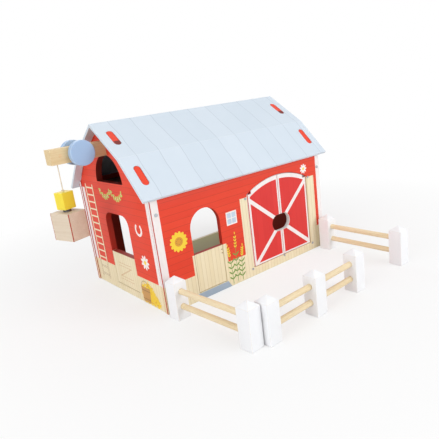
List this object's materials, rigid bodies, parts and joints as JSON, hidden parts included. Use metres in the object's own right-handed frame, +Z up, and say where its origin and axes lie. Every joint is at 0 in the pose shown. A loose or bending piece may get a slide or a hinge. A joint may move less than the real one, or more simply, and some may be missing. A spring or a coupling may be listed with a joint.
{
  "type": "toy barn with opening doors",
  "caption": "Wooden toy barn with a double door, half doors at the stable opening and gables, a loft, a pulley beam that hoists a magnetic hay bale, and separate paddock fence sections",
  "frame": {"origin": "middle of the barn's underside, on the surface it stands on, without the fence and the beam", "axes": "+X along the barn from the pulley gable to the far gable, +Z up, and the long wall with the double door faces -Y"},
  "size_m": [0.5455, 0.5049, 0.333],
  "materials": {
    "bare_wood": "sanded pale wood, clear coated",
    "red_paint": "satin red print on pale wood",
    "door_paint": "satin deep red paint",
    "loft_paint": "satin straw coloured paint",
    "pale_blue_paint": "satin pale blue paint",
    "zinc": "zinc plated",
    "sky_blue_paint": "satin sky blue paint",
    "cord": "twisted cotton cord",
    "yellow_paint": "satin yellow paint",
    "dark_metal": "dark magnet and blackened steel",
    "white_paint": "satin white paint"
  },
  "bodies": {
    "barn": {"floor_board": "bare_wood", "front_wall": "red_paint", "rear_wall": "red_paint", "pulley_gable": "red_paint", "far_gable": "red_paint", "floor_dowels": "bare_wood", "loft_ledgers": "bare_wood", "loft_floor": "loft_paint", "roof_front_lower": "pale_blue_paint", "roof_front_upper": "pale_blue_paint", "roof_rear_upper": "pale_blue_paint", "roof_rear_lower": "pale_blue_paint", "corner_bolts": "zinc", "barrel_nuts": "zinc", "door_battens": "bare_wood", "stop_block": "bare_wood", "frame_screws": "zinc", "door_pins": "zinc", "frame_hinges": "zinc", "pulley_beam": "bare_wood", "beam_peg": "bare_wood", "guide_pin": "bare_wood", "cord_run": "cord", "left_fence_posts": "white_paint", "left_fence_rails": "bare_wood", "front_fence_posts": "white_paint", "front_fence_rails": "bare_wood", "right_fence_posts": "white_paint", "right_fence_rails": "bare_wood"},
    "door_left": {"barn_door_left": "door_paint"},
    "door_right": {"barn_door_right": "door_paint"},
    "stable_leaf": {"stable_door": "bare_wood", "stable_door_hinges": "zinc"},
    "pulley_leaf": {"pulley_half_door": "bare_wood", "pulley_door_hinges": "zinc"},
    "far_leaf": {"far_half_door": "bare_wood", "far_door_hinges": "zinc"},
    "winch": {"winch_axle": "bare_wood", "winch_wheel_front": "sky_blue_paint", "winch_wheel_rear": "sky_blue_paint", "cord_winding": "cord"},
    "load": {"hoist_cord": "cord", "magnet_block": "yellow_paint", "magnet": "dark_metal"},
    "bale": {"hay_bale": "bare_wood", "bale_plate": "dark_metal"}
  },
  "joints": [
    {"name": "left_door_hinge", "type": "hinge", "parent": "barn", "child": "door_left", "pos_m": [0.002, -0.1375, 0.09], "axis": [0, 0, -1], "range_deg": [0, 100]},
    {"name": "right_door_hinge", "type": "hinge", "parent": "barn", "child": "door_right", "pos_m": [0.162, -0.1375, 0.09], "axis": [0, 0, 1], "range_deg": [0, 100]},
    {"name": "stable_door_hinge", "type": "hinge", "parent": "barn", "child": "stable_leaf", "pos_m": [-0.1395, -0.1314, 0.05], "axis": [0, 0, 1], "range_deg": [0, 105]},
    {"name": "pulley_door_hinge", "type": "hinge", "parent": "barn", "child": "pulley_leaf", "pos_m": [-0.1949, 0.0455, 0.05], "axis": [0, 0, 1], "range_deg": [0, 105]},
    {"name": "far_door_hinge", "type": "hinge", "parent": "barn", "child": "far_leaf", "pos_m": [0.1949, 0.0455, 0.05], "axis": [0, 0, -1], "range_deg": [0, 105]},
    {"name": "winch_turn", "type": "hinge", "parent": "barn", "child": "winch", "pos_m": [-0.256, 0, 0.288], "axis": [0, 1, 0], "range_deg": [-1375, 455]},
    {"name": "hoist", "type": "slide", "parent": "barn", "child": "load", "axis": [0, 0, 1], "range_m": [-0.12, 0.04], "deforming": ["hoist_cord"]},
    {"name": "bale_release", "type": "slide", "parent": "load", "child": "bale", "axis": [0, 0, -1], "range_m": [0, 0.02]}
  ],
  "couplings": [
    {"joint": "hoist", "follows": "winch_turn", "m_per_rad": 0.005}
  ]
}
